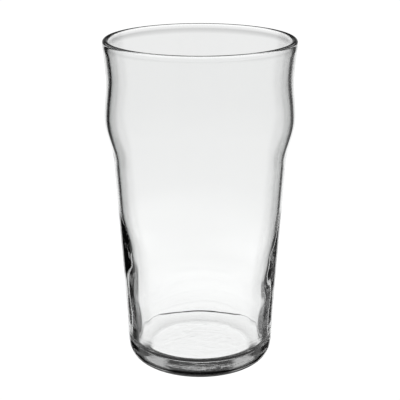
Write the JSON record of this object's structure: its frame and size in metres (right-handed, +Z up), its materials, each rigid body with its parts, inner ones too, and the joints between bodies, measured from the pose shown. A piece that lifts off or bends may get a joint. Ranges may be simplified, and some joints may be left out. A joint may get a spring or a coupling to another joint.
{
  "type": "pint glass",
  "caption": "Clear glass pint tumbler with a grip bulge below the rounded rim, a tapering wall and a heavy rounded base, for serving cold drinks.",
  "frame": {"origin": "centre of the bearing ring that the glass stands on", "axes": "+Z up along the axis of the glass, out of its mouth; the glass is round, so +X and +Y are free"},
  "size_m": [0.0868, 0.0868, 0.152],
  "materials": {
    "glass": "clear, colourless and glossy, with a fire-polished rim"
  },
  "bodies": {
    "root": {"rim_bead": "glass", "rim_band": "glass", "bulge": "glass", "upper_wall": "glass", "lower_wall": "glass", "heel": "glass", "floor_disc": "glass"}
  },
  "joints": []
}
